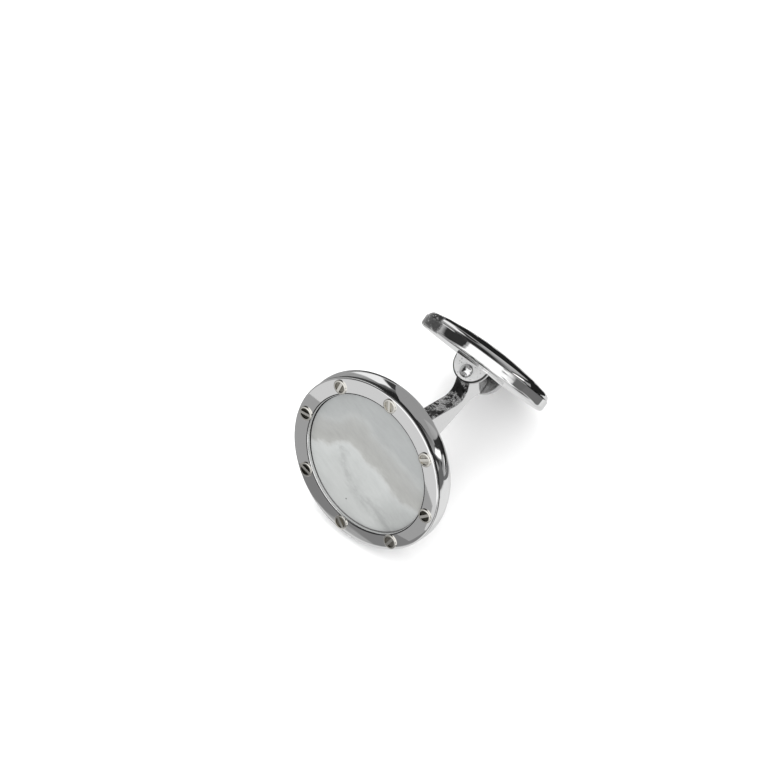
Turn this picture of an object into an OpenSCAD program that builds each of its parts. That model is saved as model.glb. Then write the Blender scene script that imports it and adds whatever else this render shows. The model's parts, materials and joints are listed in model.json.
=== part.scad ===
/* [Front disc] */
// Outer diameter of the bezel ring
bezel_d = 19; // [18.8:0.1:20]
// Thickness of the bezel ring
bezel_t = 0.45; // [0.4:0.05:0.6]
// Radius of the rounded outer edge of the bezel ring
bezel_round = 0.2; // [0.1:0.01:0.22]
// Diameter of the window in the bezel ring
window_d = 15.3; // [14:0.1:15.4]
// Diameter of the mother-of-pearl disc, whose edge the bezel covers
pearl_d = 15.8; // [15.7:0.05:15.9]
// Thickness of the mother-of-pearl disc
pearl_t = 1; // [0.8:0.1:1.2]
// Depth of the whole front disc, from face to back
front_depth = 3.3; // [3.2:0.1:3.4]
// Radius of the rounded side wall, seen in section
wall_round = 1.9; // [1.8:0.05:2]

/* [Screws] */
// Number of screws round the bezel
screw_count = 8; // [8]
// Diameter of the circle that the screws stand on
screw_circle_d = 17; // [16.9:0.05:17.1]
// Diameter of a screw's head
head_d = 1.6; // [1.5:0.05:1.7]
// Height of a screw's head above the bezel
head_h = 0.14; // [0.1:0.01:0.2]
// Width of the raised rim round a head
head_rim = 0.22; // [0.18:0.01:0.25]
// Depth of the two sunk half-moons in a head
head_sink = 0.24; // [0.15:0.01:0.3]
// Width of the raised bar across a head
head_bar = 0.3; // [0.2:0.02:0.4]
// Diameter of the shoulder that fills the bezel's hole
shoulder_d = 1.34; // [1.3:0.01:1.4]
// Diameter of a screw's shank
shank_d = 0.8; // [0.6:0.05:0.85]
// Length of a screw's shank
shank_l = 1.7; // [1.2:0.1:1.9]

/* [Post] */
// Thickness of the flat post
post_t = 1.8; // [1.6:0.1:1.8]
// Height of the post's foot on the back of the disc
foot_h = 4.6; // [4:0.1:5]
// Distance from the face of the bezel to the hinge pin
pin_reach = 16.2; // [16:0.1:17]
// Height of the hinge pin above the axis of the disc
pin_rise = 3.9; // [3.8:0.1:4]
// Angle that the post is bent by, up to the toggle
bend = 46.5; // [45:0.5:48]
// Width of the hammer head, along the hinge pin
hammer_w = 3.5; // [3.3:0.1:3.6]

/* [Toggle] */
// Diameter of the toggle
toggle_d = 15.4; // [14:0.2:16]
// Height of the toggle's side wall
toggle_wall = 1.22; // [1.1:0.02:1.3]
// Overall thickness of the toggle in the middle
toggle_t = 2.57; // [2.5:0.01:2.7]
// Radius of the rounded edge on the toggle's inner face
toggle_round = 0.4; // [0.3:0.05:0.5]
// Radius of a half-round ear
ear_r = 2.1; // [1.9:0.05:2.2]
// Thickness of an ear
ear_t = 0.65; // [0.5:0.05:0.7]
// Clear width between the ears
ear_gap = 3.7; // [3.65:0.05:3.8]
// Distance from the hinge pin to the base plate of the ears
pin_h = 0.98; // [0.96:0.02:1.1]
// Thickness of the base plate
base_t = 0.2; // [0.2:0.02:0.4]
// Diameter of the hinge pin
pin_d = 0.9; // [0.8:0.05:1]
// Diameter of the riveted heads of the hinge pin
rivet_d = 1.45; // [1.3:0.05:1.6]
// Height of the riveted heads
rivet_h = 0.38; // [0.3:0.02:0.42]

/* [Hidden] */
$fn = 96;
arc_steps = 10;

// Clearances between pieces that are set or screwed together, and in the hinge
seat_gap = 0.02;
hinge_clearance = 0.05;
ear_clearance = 0.01;
// How far one shape runs into another before they are joined or cut
bite = 0.1;

// Angle of the first screw round the disc, and the way each screw's bar lies, from the side
first_screw = 39;
bar_turns = [36, 104, 78, 8, 168, 138, 65, 44];

// The side wall of the front disc is one arc in section
bezel_r = bezel_d / 2;
window_r = window_d / 2;
wall_x = bezel_r - wall_round;
wall_y = front_depth - wall_round;
wall_start = asin((bezel_t - wall_y) / wall_round);
pearl_r = pearl_d / 2;
seat_r = pearl_r + seat_gap;
seat_depth = bezel_t + pearl_t;

// The post's underside rises at an angle between two curves, and its upper side has one curve
belly_r = 5;
belly_start = 7.55;
underside_rise = 34;
throat_r = 0.9;
throat_turn = 95;
throat_back = 1.26;
throat_drop = 0.14;
neck_r = 1.3;
neck_gap = 0.05;

// The toggle's own frame has its middle at the hinge pin, +Y out of the toggle and +Z along the pin
toggle_r = toggle_d / 2;
toggle_in = pin_h + base_t;
groove = 0.12;
cap_r = toggle_r - groove;
dome_r = 6;
dome_drop = 0.5;
dome_round = (dome_r * dome_r + dome_drop * dome_drop) / (2 * dome_drop);
cap_round = 0.7;
cap_step = 0.22;
cap_from = 15;
cap_to = 75;
cap_x = cap_r - cap_round;
cap_y = toggle_in + toggle_t - dome_drop - cap_step - cap_round;

// The cufflink lies on the side wall of its disc and on the edge of its toggle.
// Both are arcs in the plane of the post, so the ground is their common tangent.
pin_place = [pin_reach, pin_rise];
out_way = [cos(bend), sin(bend)];
along_way = [-sin(bend), cos(bend)];
case_arc = [wall_y, -wall_x];
toggle_edge_h = toggle_in + toggle_round;
toggle_edge_r = toggle_r - toggle_round;
toggle_arc = pin_place + toggle_edge_h * out_way - toggle_edge_r * along_way;
arc_step = toggle_arc - case_arc;
lean = atan2(arc_step[1], arc_step[0]) + asin((wall_round - toggle_round) / norm(arc_step));
lift = sin(lean) * case_arc[0] - cos(lean) * case_arc[1] + wall_round;

// The origin is under the middle of its length, between the lowest screw and the toggle's cap
low_screw = head_h * cos(lean) + (screw_circle_d + head_d) / 2 * sin(lean);
cap_place = pin_place + cap_y * out_way - cap_x * along_way;
far_end = cos(lean) * cap_place[0] + sin(lean) * cap_place[1] + cap_round;
middle = (far_end - low_screw) / 2;

// Points of an arc in the plane, from one angle to another
function arc(c, r, from, to) = [
    for (i = [0:arc_steps])
        let (a = from + (to - from) * i / arc_steps)
            [c[0] + r * cos(a), c[1] + r * sin(a)]
];

// Places a piece drawn about the disc's own axis, which is +Y, as the cufflink lies
module lie() {
    translate([0, -middle, lift])
        rotate([-lean, 0, 0])
            children();
}

// Turns a section of radius and depth into a solid about +Y
module turned() {
    rotate([-90, 0, 0])
        rotate_extrude()
            children();
}

// Places a piece drawn in the toggle's own frame
module at_hinge() {
    translate([0, pin_reach, pin_rise])
        rotate([bend, 0, 0])
            children();
}

// Places a piece at one screw, turned as that screw is
module at_screw(i, turn) {
    place = first_screw + 360 / screw_count * i;
    rotate([0, -place, 0])
        translate([screw_circle_d / 2, 0, 0])
            rotate([0, place - turn, 0])
                children();
}

// A hole for each screw, from a little above the bezel's face down to a depth
module screw_holes(across, depth) {
    for (i = [0:screw_count - 1])
        at_screw(i, 0)
            translate([0, -bite, 0])
                rotate([-90, 0, 0])
                    cylinder(h = depth + bite, d = across + 2 * seat_gap);
}

// Section of the cup: a seat for the pearl inside and a rounded wall outside
module cup_section() {
    polygon(concat(
        [[0, seat_depth], [seat_r, seat_depth], [seat_r, bezel_t]],
        arc([wall_x, wall_y], wall_round, wall_start, 90),
        [[0, front_depth]]
    ));
}

// Outline of the post in its own plane: a straight bar whose underside rises to a neck
module post_outline() {
    half = hammer_w / 2;
    near = pin_place - post_t / 2 * out_way + half * along_way;
    far = pin_place - post_t / 2 * out_way - half * along_way;
    neck = [near[0] - neck_r - neck_gap, foot_h / 2 + neck_r];
    belly = [belly_start, belly_r - foot_h / 2];
    throat = far - [throat_back, throat_r + throat_drop];
    polygon(concat(
        [[front_depth - bite, -foot_h / 2]],
        arc(belly, belly_r, -90, underside_rise - 90),
        arc(throat, throat_r, 90 + underside_rise, throat_turn),
        [far, pin_place - half * along_way, pin_place + half * along_way, near],
        arc(neck, neck_r, 0, -90),
        [[front_depth - bite, foot_h / 2]]
    ));
}

// Places a flat outline drawn in the plane of the post, and gives it the post's thickness
module post_plate() {
    rotate([90, 0, 90])
        linear_extrude(post_t, center = true)
            children();
}

module front_case() {
    color([0.78, 0.79, 0.8])
        lie()
            difference() {
                union() {
                    turned() cup_section();
                    post_plate() post_outline();
                    at_hinge() cylinder(h = hammer_w, d = post_t, center = true);
                }
                screw_holes(shank_d, shank_l + seat_gap);
                at_hinge() cylinder(h = hammer_w + bite, d = pin_d + 2 * hinge_clearance, center = true);
            }
}

// Section of the ring: a rounded outer edge, and small bevels at the window and behind
module bezel_section() {
    bevel = 0.08;
    back = bezel_t - seat_gap;
    polygon(concat(
        [[window_r, bevel], [window_r + bevel, 0]],
        arc([bezel_r - bezel_round, bezel_round], bezel_round, -90, 0),
        [[bezel_r, back - bevel], [bezel_r - bevel, back], [window_r, back]]
    ));
}

module bezel() {
    color([0.82, 0.83, 0.84])
        lie()
            difference() {
                turned() bezel_section();
                screw_holes(shoulder_d, bezel_t + bite);
            }
}

module pearl() {
    color([0.86, 0.88, 0.87])
        lie()
            turned()
                translate([0, bezel_t])
                    square([pearl_r, pearl_t - seat_gap]);
}

// A screw drawn about +Y, with its head towards the front of the disc
module screw(i) {
    head_r = head_d / 2;
    well_r = head_r - head_rim;
    edge = head_rim / 3;
    well_y = head_sink - head_h;
    shoulder_y = bezel_t - seat_gap;
    color([0.74, 0.73, 0.7])
        lie()
            at_screw(i, bar_turns[i])
                union() {
                    turned()
                        polygon([
                            [0, well_y], [well_r, well_y], [well_r, edge - head_h],
                            [well_r + edge, -head_h], [head_r - edge, -head_h], [head_r, edge - head_h],
                            [head_r, -seat_gap], [shoulder_d / 2, -seat_gap], [shoulder_d / 2, shoulder_y],
                            [shank_d / 2, shoulder_y], [shank_d / 2, shank_l], [0, shank_l]
                        ]);
                    translate([-well_r - edge / 2, -head_h + edge / 2, -head_bar / 2])
                        cube([2 * well_r + edge, head_sink, head_bar]);
                }
}

// Section of the toggle: a rounded inner edge, a side wall, a groove and a domed cap
module toggle_section() {
    top = toggle_in + toggle_t;
    dome_turn = asin(dome_r / dome_round);
    polygon(concat(
        [[0, toggle_in]],
        arc([toggle_edge_r, toggle_edge_h], toggle_round, -90, 0),
        [
            [toggle_r, toggle_in + toggle_wall - groove], [toggle_r - groove, toggle_in + toggle_wall],
            [cap_r - groove, toggle_in + toggle_wall], [cap_r, toggle_in + toggle_wall + groove]
        ],
        arc([cap_x, cap_y], cap_round, cap_from, cap_to),
        arc([0, top - dome_round], dome_round, 90 - dome_turn, 90)
    ));
}

// A half-round ear drawn in the toggle's own frame, standing along the pin from the middle outwards
module ear() {
    bevel = 0.1;
    intersection() {
        translate([0, pin_h, ear_gap / 2])
            rotate_extrude()
                polygon([[0, 0], [ear_r, 0], [ear_r, ear_t - bevel], [ear_r - bevel, ear_t], [0, ear_t]]);
        translate([-ear_r - bite, pin_h + bite - 2 * ear_r, 0])
            cube([2 * (ear_r + bite), 2 * ear_r, ear_gap]);
    }
}

module toggle() {
    span = ear_gap + 2 * ear_t;
    color([0.78, 0.79, 0.8])
        lie()
            at_hinge()
                difference() {
                    union() {
                        turned() toggle_section();
                        translate([-ear_r, pin_h, -span / 2]) cube([2 * ear_r, base_t + bite, span]);
                        ear();
                        mirror([0, 0, 1]) ear();
                    }
                    cylinder(h = span + bite, d = pin_d + 2 * ear_clearance, center = true);
                }
}

module hinge_pin() {
    span = ear_gap + 2 * ear_t;
    head_y = span / 2 + seat_gap;
    head_round = (rivet_d * rivet_d / 4 + rivet_h * rivet_h) / (2 * rivet_h);
    half_turn = asin(rivet_d / 2 / head_round);
    color([0.76, 0.76, 0.76])
        lie()
            at_hinge()
                rotate_extrude()
                    polygon(concat(
                        arc([0, head_round - head_y - rivet_h], head_round, -90, half_turn - 90),
                        [[pin_d / 2, -head_y], [pin_d / 2, head_y]],
                        arc([0, head_y + rivet_h - head_round], head_round, 90 - half_turn, 90)
                    ));
}

front_case();
bezel();
pearl();
toggle();
hinge_pin();
screw(0);  // screw_1
screw(1);  // screw_2
screw(2);  // screw_3
screw(3);  // screw_4
screw(4);  // screw_5
screw(5);  // screw_6
screw(6);  // screw_7
screw(7);  // screw_8
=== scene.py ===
# %% [markdown]
# # A cufflink with a mother-of-pearl face
#
# This lesson dresses one cufflink: a shell disc under a screwed ring, a curved flat post, and a round
# toggle that swings on a rivet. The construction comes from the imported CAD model, and this script only
# adds the looks. Almost everything on a cufflink is turned, sawn or stamped, so most pieces here are
# drawn as half a section and spun, which is also how a lathe makes them.

# %% Load the frame
import json
from math import asin, atan2, cos, degrees, pi, radians, sin, tau

import bmesh
import bpy
from mathutils import Matrix, Vector


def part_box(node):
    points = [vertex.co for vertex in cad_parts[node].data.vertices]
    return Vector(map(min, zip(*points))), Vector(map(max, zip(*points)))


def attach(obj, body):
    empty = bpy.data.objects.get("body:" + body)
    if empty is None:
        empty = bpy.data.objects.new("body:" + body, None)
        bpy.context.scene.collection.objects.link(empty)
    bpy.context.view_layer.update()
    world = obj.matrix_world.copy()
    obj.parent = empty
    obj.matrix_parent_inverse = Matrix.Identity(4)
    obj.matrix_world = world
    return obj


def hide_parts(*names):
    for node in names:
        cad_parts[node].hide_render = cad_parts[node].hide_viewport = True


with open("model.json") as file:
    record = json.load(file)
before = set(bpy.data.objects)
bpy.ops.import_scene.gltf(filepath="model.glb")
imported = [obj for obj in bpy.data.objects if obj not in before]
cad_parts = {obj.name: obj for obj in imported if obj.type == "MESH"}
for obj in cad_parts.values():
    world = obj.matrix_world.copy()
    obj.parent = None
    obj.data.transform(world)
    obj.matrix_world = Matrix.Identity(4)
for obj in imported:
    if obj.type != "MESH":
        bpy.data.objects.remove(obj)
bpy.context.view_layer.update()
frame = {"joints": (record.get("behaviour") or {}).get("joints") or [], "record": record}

# %% [markdown]
# ## Three frames to draw in
#
# The cufflink lies tilted, so nothing on it is square to the world. Each group of pieces is drawn in
# millimetres in a frame of its own instead, and one matrix puts it in place. The face's axis is the way
# that the buttonholes go along the post, and the toggle's frame comes from its hinge, so both follow the
# CAD model if it changes.

# %% The frames of the face, the post and the toggle
MM = 0.001
ACROSS = Vector((1, 0, 0))
hinge = frame["joints"][0]
along = Vector(frame["record"]["mounts"][0]["axis"]).normalized()
pin_way = Vector(hinge["axis"]).normalized()


def frame_of(origin, x, y, z):
    """A matrix that takes millimetres along x, y and z from origin to metres in the world."""
    turn = Matrix((x, y, z)).transposed().to_4x4()
    return Matrix.Translation(origin) @ turn @ Matrix.Scale(MM, 4)


bezel_t = 0.43
low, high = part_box("bezel")
face_centre = (low + high) / 2 - along * (bezel_t / 2 * MM)
face_up = ACROSS.cross(along)
out_way = pin_way.cross(ACROSS)
pin_place = Vector(hinge["pos_m"])

FACE = frame_of(face_centre, ACROSS, face_up, -along)
POST = frame_of(face_centre, along, face_up, ACROSS)
SWIVEL = frame_of(pin_place, ACROSS, -pin_way, out_way)
bezel_r = (high.x - low.x) / 2 / MM
print("face centre", [round(v / MM, 2) for v in face_centre], "ring radius", round(bezel_r, 2))

# %% [markdown]
# ## A pen for sections
#
# A turned piece needs half of its section. The pen puts a vertex down and draws on from it: a straight
# stroke adds a vertex and an edge, and a curved stroke spins the last vertex about a centre. The whole
# section then goes through one full spin, which closes on itself when use_merge is on.


# %% The pen and the lathe
class Pen:
    """Draws one line of edges in a bmesh, from a first point on."""

    def __init__(self, x, y):
        self.bm = bmesh.new()
        self.first = self.tip = self.bm.verts.new((x, y, 0))

    def line(self, x, y):
        new = self.bm.verts.new((x, y, 0))
        self.bm.edges.new((self.tip, new))
        self.tip = new
        return self

    def turn(self, cx, cy, angle_deg, steps):
        """Swings on round a centre, counterclockwise where the angle is positive."""
        made = bmesh.ops.spin(
            self.bm, geom=[self.tip], cent=(cx, cy, 0), axis=(0, 0, 1),
            angle=radians(angle_deg), steps=steps,
        )
        self.tip = next(v for v in made["geom_last"] if isinstance(v, bmesh.types.BMVert))
        return self


def lathe(pen, steps):
    """Spins a section of (radius, height) about the height's axis, and closes its poles."""
    bm = pen.bm
    bmesh.ops.rotate(bm, verts=bm.verts, cent=(0, 0, 0), matrix=Matrix.Rotation(pi / 2, 3, "X"))
    bmesh.ops.spin(
        bm, geom=bm.verts[:] + bm.edges[:], cent=(0, 0, 0), axis=(0, 0, 1),
        angle=tau, steps=steps, use_merge=True,
    )
    bmesh.ops.remove_doubles(bm, verts=bm.verts, dist=1e-4)
    bmesh.ops.recalc_face_normals(bm, faces=bm.faces)
    return bm


def heading(angle_deg):
    """A unit vector in the drawing's plane, turned from the x axis."""
    return Vector((cos(radians(angle_deg)), sin(radians(angle_deg)), 0))


print("pen and lathe are ready")


# %% Plates, and edges that are rounded over
def lift_new(bm, grown, height):
    """Moves what an extrusion has just made."""
    moved = [part for part in grown if isinstance(part, bmesh.types.BMVert)]
    bmesh.ops.translate(bm, verts=moved, vec=(0, 0, height))


def sharp_edges(bm, angle_deg=50):
    return [e for e in bm.edges if e.calc_face_angle(0) > radians(angle_deg)]


def soften(bm, edges, offset, segments=3):
    """Rounds edges over, as a polishing wheel does, and closes what the bevel left open at its ends."""
    bmesh.ops.bevel(
        bm, geom=edges, offset=offset, segments=segments, profile=0.5, affect="EDGES", material=-1,
    )
    bmesh.ops.remove_doubles(bm, verts=bm.verts, dist=1e-3)


def sheared_plate(pen, thickness, bevel):
    """Closes an outline, fills it, gives it a thickness about its own plane, and softens its rims."""
    bm = pen.bm
    bm.edges.new((pen.tip, pen.first))
    bmesh.ops.remove_doubles(bm, verts=bm.verts, dist=1e-4)
    bmesh.ops.contextual_create(bm, geom=bm.edges[:])
    grown = bmesh.ops.extrude_face_region(bm, geom=bm.faces[:])["geom"]
    lift_new(bm, grown, thickness)
    bmesh.ops.translate(bm, verts=bm.verts, vec=(0, 0, -thickness / 2))
    bmesh.ops.recalc_face_normals(bm, faces=bm.faces)
    soften(bm, sharp_edges(bm), bevel)
    return bm


print("plates are ready")

# %% [markdown]
# ## From a drawing to a piece
#
# A drawn shape becomes an object at the origin, with its place in its mesh. It is shaded smooth except at
# its sharp edges, and weighted normals keep a flat face flat beside a rounded edge. Then it rides on a
# body and hides the CAD node that it stands for.

# %% A shown piece
SHARP_DEG = 38


def link(name, data):
    made = bpy.data.objects.new(name, data)
    bpy.context.scene.collection.objects.link(made)
    return made


def mesh_of(name, bm, materials):
    mesh = bpy.data.meshes.new(name)
    bm.to_mesh(mesh)
    bm.free()
    for material in materials:
        mesh.materials.append(material)
    return mesh


def piece(name, bm, place, body, stands_for, materials):
    """Makes a shown piece of a bmesh in millimetres, and ties it to the CAD model."""
    bm.transform(place)
    mesh = mesh_of(name, bm, materials)
    mesh.shade_smooth()
    mesh.set_sharp_from_angle(angle=radians(SHARP_DEG))
    made = link(name, mesh)
    normals = made.modifiers.new("flat faces stay flat", "WEIGHTED_NORMAL")
    normals.keep_sharp = True
    normals.thresh = 0.0
    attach(made, body)
    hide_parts(stands_for)
    print(f"{name}: {len(mesh.polygons)} faces, stands for {stands_for}")


print("edges are sharp from", SHARP_DEG, "degrees")

# %% [markdown]
# ## Shared effects for metal
#
# A polished plate is never quite flat. The wheel leaves shallow waves that bend a reflection's edge, and
# hair lines that only show in strong light. A turned piece keeps faint rings from the lathe. Metal that
# no wheel reached keeps small pits from casting. Several materials here share these patterns, so each is
# a node group with its own inputs, built once. A group gives out values only, and the shader stays in
# each material.


# %% Node helpers
def new_group(name, inputs, outputs):
    """A shader node group with named inputs and value outputs. An input of None is a vector."""
    group = bpy.data.node_groups.new(name, "ShaderNodeTree")
    for label, value in inputs:
        kind = "NodeSocketVector" if value is None else "NodeSocketFloat"
        socket = group.interface.new_socket(name=label, in_out="INPUT", socket_type=kind)
        if value is not None:
            socket.default_value = value
    for label in outputs:
        group.interface.new_socket(name=label, in_out="OUTPUT", socket_type="NodeSocketFloat")
    return group, group.nodes.new("NodeGroupInput").outputs, group.nodes.new("NodeGroupOutput").inputs


def fill(tree, node, inputs):
    """Sets a node's inputs to values, or links them to other nodes' outputs."""
    for key, value in inputs.items():
        if isinstance(value, bpy.types.NodeSocket):
            tree.links.new(value, node.inputs[key])
        else:
            node.inputs[key].default_value = value


def add(tree, kind, inputs=None, **settings):
    """Adds a node, sets its properties, and fills its inputs."""
    node = tree.nodes.new(kind)
    for key, value in settings.items():
        setattr(node, key, value)
    fill(tree, node, inputs or {})
    return node


def maths(tree, operation, a, b=0.0, c=0.0):
    return add(tree, "ShaderNodeMath", {0: a, 1: b, 2: c}, operation=operation).outputs[0]


def noise(tree, vector, scale, detail=2.0, roughness=0.5, distortion=0.0):
    values = {"Vector": vector, "Scale": scale, "Detail": detail}
    values |= {"Roughness": roughness, "Distortion": distortion}
    return add(tree, "ShaderNodeTexNoise", values).outputs["Fac"]


def stretch(tree, vector, scale, turn_deg=0.0):
    """Turns a pattern in the piece's own plane, and then squeezes it along x, y and z."""
    spun = add(tree, "ShaderNodeMapping", {"Vector": vector, "Rotation": (0, 0, radians(turn_deg))})
    return add(tree, "ShaderNodeMapping", {"Vector": spun.outputs[0], "Scale": scale}).outputs[0]


def ramp(tree, value, *stops):
    """A colour ramp whose stops are (place, grey) or (place, (r, g, b))."""
    node = add(tree, "ShaderNodeValToRGB", {"Fac": value})
    elements = node.color_ramp.elements
    while len(elements) < len(stops):
        elements.new(1.0)
    for element, (place, tone) in zip(elements, stops):
        element.position = place
        rgb = tone if isinstance(tone, tuple) else (tone, tone, tone)
        element.color = (*rgb, 1)
    return node.outputs["Color"]


def bump(tree, height, depth_mm, normal=None):
    """Turns a height from 0 to 1 into a tilt of the surface, as if it were depth_mm deep."""
    inputs = {"Strength": 1.0, "Distance": depth_mm * MM, "Height": height}
    if normal is not None:
        inputs["Normal"] = normal
    return add(tree, "ShaderNodeBump", inputs).outputs[0]


def off_axis(tree, spot):
    """A spot's x, y and z, its place across the z axis, and its distance from that axis."""
    parts = add(tree, "ShaderNodeSeparateXYZ", {0: spot}).outputs
    flat = add(tree, "ShaderNodeCombineXYZ", {0: parts["X"], 1: parts["Y"]}).outputs[0]
    far_out = add(tree, "ShaderNodeVectorMath", {0: flat}, operation="LENGTH").outputs["Value"]
    return parts, flat, far_out


print("node helpers are ready")

# %% Polishing waves, lathe rings and casting pits
polish, given, result = new_group("polish", [("Place", None), ("Waves per mm", 3.0)], ["Height", "Dulling"])
waves = noise(polish, given["Place"], given["Waves per mm"], detail=1.0)
hairs = noise(polish, stretch(polish, given["Place"], (0.6, 14.0, 14.0)), 2.2, detail=3.0, roughness=0.7)
polish.links.new(waves, result["Height"])
polish.links.new(hairs, result["Dulling"])

turned, given, result = new_group("turned", [("Place", None), ("Rings per mm", 3.0)], ["Height"])
parts, flat, radius = off_axis(turned, given["Place"])
drift = maths(turned, "MULTIPLY", noise(turned, flat, 0.25, detail=1.0), 0.4)
spot = add(turned, "ShaderNodeCombineXYZ", {0: radius, 1: parts["Z"], 2: drift}).outputs[0]
rings = noise(turned, spot, given["Rings per mm"], detail=2.0)
turned.links.new(rings, result["Height"])

pits, given, result = new_group("pits", [("Place", None), ("Pits per mm", 4.0)], ["Height", "Mask"])
cells = add(pits, "ShaderNodeTexVoronoi", {"Vector": given["Place"], "Scale": given["Pits per mm"]})
pit_mask = ramp(pits, cells.outputs["Distance"], (0.05, 1.0), (0.32, 0.0))
grain = noise(pits, given["Place"], 5.0, detail=4.0, roughness=0.65)
pits.links.new(maths(pits, "MULTIPLY_ADD", pit_mask, -0.8, grain), result["Height"])
pits.links.new(pit_mask, result["Mask"])
print("groups:", [g.name for g in bpy.data.node_groups])

# %% [markdown]
# ## The metals
#
# Nearly all the metal is bright plating. What differs is how well each place was polished. The ring, the
# cup and the toggle are mirrors. The post's narrow edges, the ears and one side of the toggle's rim kept
# their cast skin, and the dark patches in the skin of the post and the toggle are painted dark
# reflections. The screws are a little warmer, because they are bare nickel. A Mapping node of type
# Texture turns the world's place into millimetres in the piece's own frame, so a scale is a real size.

# %% A material, and its place in millimetres
PLATING = (0.90, 0.90, 0.90)
NICKEL = (0.83, 0.81, 0.76)


def material(name):
    """An empty material, its node tree, and its Principled BSDF."""
    made = bpy.data.materials.new(name)
    made.use_nodes = True
    return made, made.node_tree, made.node_tree.nodes["Principled BSDF"]


def own_place(tree, place):
    """The surface's place in a piece's own frame, in millimetres."""
    coords = add(tree, "ShaderNodeTexCoord").outputs["Object"]
    spots = {"Location": place.translation, "Rotation": place.to_euler(), "Scale": (MM, MM, MM)}
    return add(tree, "ShaderNodeMapping", {"Vector": coords, **spots}, vector_type="TEXTURE").outputs[0]


print("plating", PLATING, "nickel", NICKEL)


# %% Mirror metal
def mirror_metal(name, place, tone, roughness, wave_mm, waves_per_mm, ring_mm=0.0):
    """Polished plating, with the wheel's waves and hairs, and the lathe's rings where ring_mm is given."""
    made, tree, shader = material(name)
    spot = own_place(tree, place)
    surface = add(tree, "ShaderNodeGroup", {"Place": spot, "Waves per mm": waves_per_mm}, node_tree=polish)
    dull = ramp(tree, surface.outputs["Dulling"], (0.45, roughness), (0.75, roughness * 2.4))
    normal = bump(tree, surface.outputs["Height"], wave_mm)
    if ring_mm:
        marks = add(tree, "ShaderNodeGroup", {"Place": spot, "Rings per mm": 2.5}, node_tree=turned)
        normal = bump(tree, marks.outputs["Height"], ring_mm, normal)
    fill(tree, shader, {"Metallic": 1.0, "Base Color": (*tone, 1), "Roughness": dull, "Normal": normal})
    return made


print("mirror metal reads", [item.name for item in polish.interface.items_tree])


# %% Cast skin that the wheel left on the toggle's rim, with painted dark reflections
def mix_colours(tree, share, a, b, kind="MIX"):
    inputs = {0: share, 6: a, 7: b}
    return add(tree, "ShaderNodeMix", inputs, data_type="RGBA", blend_type=kind).outputs[2]


def leave_skin(made, place, rim_r, skin_x, tip_x):
    """Leaves cast skin on a mirror beyond rim_r from its axis: most of it past skin_x, all past tip_x. Its
    dark patches are painted reflections.
    """
    tree = made.node_tree
    shader = tree.nodes["Principled BSDF"]
    polished = shader.inputs["Normal"].links[0].from_socket
    spot = own_place(tree, place)
    parts, _, radius = off_axis(tree, spot)
    on_rim = ramp(tree, maths(tree, "SUBTRACT", radius, rim_r), (0.0, 0.0), (0.15, 1.0))
    patches = maths(tree, "MULTIPLY_ADD", noise(tree, spot, 0.9, detail=3.0), 2.0, parts["X"])
    some = ramp(tree, maths(tree, "SUBTRACT", skin_x + 1.0, patches), (0.0, 0.0), (0.4, 0.85))
    whole = ramp(tree, maths(tree, "SUBTRACT", tip_x + 1.0, patches), (0.0, 0.0), (0.3, 0.15))
    skin = maths(tree, "MULTIPLY", maths(tree, "ADD", some, whole), on_rim)
    rough = add(tree, "ShaderNodeGroup", {"Place": spot, "Pits per mm": 2.6}, node_tree=pits)
    height = maths(tree, "MULTIPLY", rough.outputs["Height"], skin)
    # near-black patches in the colour: painted dark reflections
    painted_dark_reflection = ramp(tree, noise(tree, spot, 1.7, detail=5.0, roughness=0.7), (0.55, 1.0), (0.60, 0.0))
    dark = maths(tree, "MULTIPLY", painted_dark_reflection, skin)
    tone = mix_colours(tree, dark, (*PLATING, 1), (0.02, 0.02, 0.02, 1))
    fill(tree, shader, {"Base Color": tone, "Normal": bump(tree, height, 0.22, polished)})


print("cast skin reads", [item.name for item in pits.interface.items_tree])


# %% Metal that was never polished
def cast_metal(name, place, light, dark, roughness, depth_mm, pits_per_mm, metallic=1.0, blotch=0.0):
    """Plating over cast skin: darker in the pits, milky where metallic is low, in blotches where asked."""
    made, tree, shader = material(name)
    spot = own_place(tree, place)
    surface = add(tree, "ShaderNodeGroup", {"Place": spot, "Pits per mm": pits_per_mm}, node_tree=pits)
    colour = ramp(tree, surface.outputs["Mask"], (0.0, light), (1.0, dark))
    if blotch:
        # blotches darken the colour: painted dark reflections
        spread = noise(tree, spot, 0.75, detail=6.0, roughness=0.72, distortion=0.6)
        patch = ramp(tree, spread, (0.49, 1.0 - blotch), (0.54, 1.0))
        colour = mix_colours(tree, 1.0, colour, patch, "MULTIPLY")
    normal = bump(tree, surface.outputs["Height"], depth_mm)
    fill(tree, shader, {"Metallic": metallic, "Roughness": roughness})
    fill(tree, shader, {"Base Color": colour, "Normal": normal})
    return made


print("cast metal is ready")

# %% [markdown]
# ## One finish for each place
#
# The waves on the cup and the toggle are deeper than on the ring, which was lapped flat. The screws'
# sunk hollows carry painted shade, in three tones from screw to screw. The ears take four materials:
# milky outside, painted shade on the rounded edge, a mirror dimmed by painted shade round the rim, and
# cast skin darkened by painted shade inside.

# %% The metals
# mirrors: name, frame, tone, roughness, depth of the waves in mm, waves per mm
ring_mirror = mirror_metal("ring_mirror", FACE, PLATING, 0.015, 0.002, 0.5)
cup_mirror = mirror_metal("cup_mirror", FACE, PLATING, 0.04, 0.05, 0.5, ring_mm=0.004)
toggle_mirror = mirror_metal("toggle_mirror", SWIVEL, PLATING, 0.04, 0.04, 0.6, ring_mm=0.012)
leave_skin(toggle_mirror, SWIVEL, rim_r=7.0, skin_x=-3.4, tip_x=-6.6)
bracket_mirror = mirror_metal("bracket_mirror", SWIVEL, PLATING, 0.04, 0.02, 1.0)
post_mirror = mirror_metal("post_mirror", POST, (0.80, 0.80, 0.80), 0.08, 0.01, 1.0)
nickel = mirror_metal("nickel", FACE, NICKEL, 0.07, 0.01, 1.5)
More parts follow.
